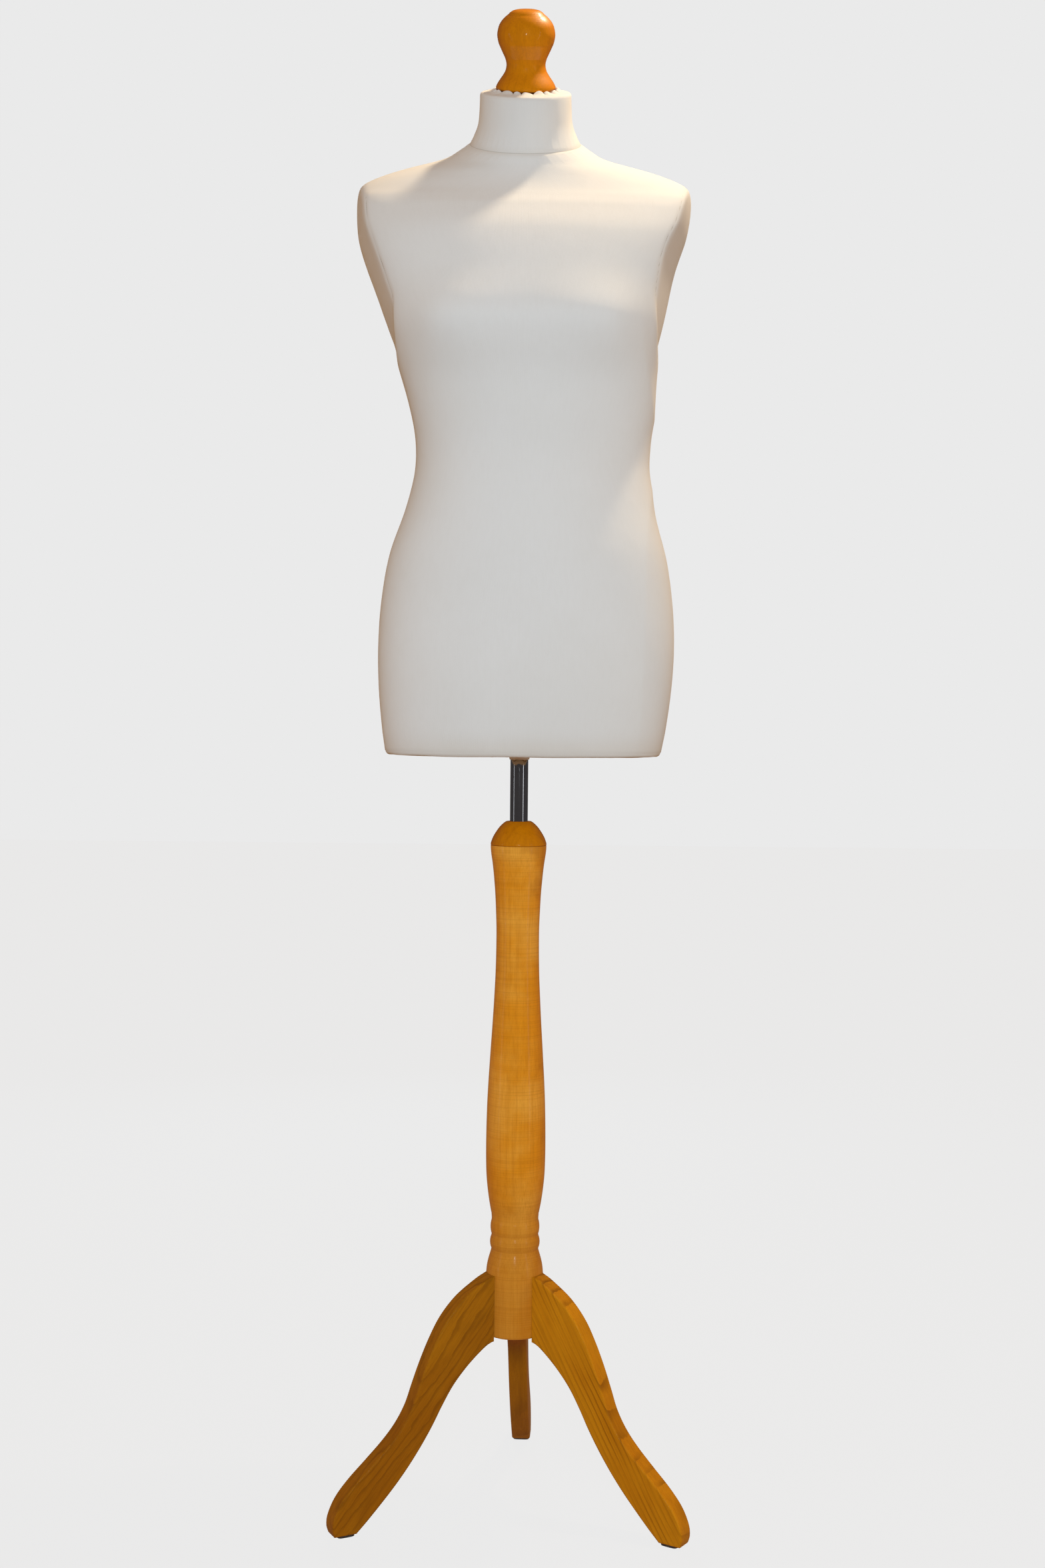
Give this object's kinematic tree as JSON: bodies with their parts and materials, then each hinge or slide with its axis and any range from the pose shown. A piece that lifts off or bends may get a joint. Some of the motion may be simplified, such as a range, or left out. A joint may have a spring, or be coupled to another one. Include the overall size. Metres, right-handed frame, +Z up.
{
  "type": "dress form mannequin",
  "caption": "Jersey-covered female dress form with a turned neck knob, on a height-adjustable chromed pole, a turned beech column and curved plank legs.",
  "frame": {"origin": "on the floor, at the middle of the footprint; the pole's axis stands 46 mm in front of it, at y = -46 mm", "axes": "+Z up, -Y towards the form's front, +X to the form's left hand"},
  "size_m": [0.3926, 0.3495, 1.6484],
  "materials": {
    "stained_beech": "stained and lacquered beech",
    "column_beech": "stained and lacquered beech, paler",
    "raw_wood": "bare birch and plywood",
    "jersey": "fine stretch jersey knit",
    "elastic": "woven elastic",
    "moulding": "glass-fibre laminate",
    "chrome": "polished chrome plate",
    "brass": "turned brass",
    "zinc": "zinc plate",
    "black_plastic": "moulded, satin",
    "nylon": "pale moulded nylon",
    "foot_felt": "dark pad"
  },
  "bodies": {
    "stand": {"column": "column_beech", "column_cap": "stained_beech", "pole_bush": "nylon", "clamp_insert": "brass", "column_plug": "black_plastic", "leg_left": "stained_beech", "leg_right": "stained_beech", "leg_rear": "stained_beech", "leg_dowels": "raw_wood", "hanger_bolts": "zinc", "bolt_washers": "zinc", "bolt_nuts": "zinc", "foot_pad_left": "foot_felt", "foot_pad_right": "foot_felt", "foot_pad_rear": "foot_felt"},
    "mast": {"pole": "chrome", "pole_foot_plug": "black_plastic", "pole_top_plug": "black_plastic"},
    "clamp_pad": {"clamp_pad": "brass"},
    "clamp_screw": {"clamp_stud": "zinc", "clamp_knob": "black_plastic"},
    "torso": {"front_shell": "moulding", "back_shell": "moulding", "base_board": "raw_wood", "pole_socket": "nylon", "socket_screws": "zinc", "neck_board": "raw_wood", "knob_socket": "brass", "jersey_cover": "jersey", "hem_elastic": "elastic", "neck_elastic": "elastic"},
    "knob": {"neck_knob": "stained_beech", "knob_dowel": "raw_wood"}
  },
  "joints": [
    {"name": "height_slide", "type": "slide", "parent": "stand", "child": "mast", "axis": [0, 0, 1], "range_m": [-0.06, 0.25]},
    {"name": "torso_swivel", "type": "hinge", "parent": "mast", "child": "torso", "pos_m": [0, -0.046, 0.842], "axis": [0, 0, 1], "continuous": true},
    {"name": "knob_lift", "type": "slide", "parent": "torso", "child": "knob", "axis": [0, -0.4019, 0.9157], "range_m": [0, 0.05]},
    {"name": "clamp_travel", "type": "slide", "parent": "stand", "child": "clamp_pad", "axis": [0, 1, 0], "range_m": [0, 0.0026]},
    {"name": "clamp_turn", "type": "hinge", "parent": "clamp_pad", "child": "clamp_screw", "pos_m": [0, -0.046, 0.678], "axis": [0, 1, 0], "range_deg": [0, 720]}
  ],
  "couplings": [
    {"joint": "clamp_travel", "follows": "clamp_turn", "m_per_rad": 0.00019894}
  ]
}
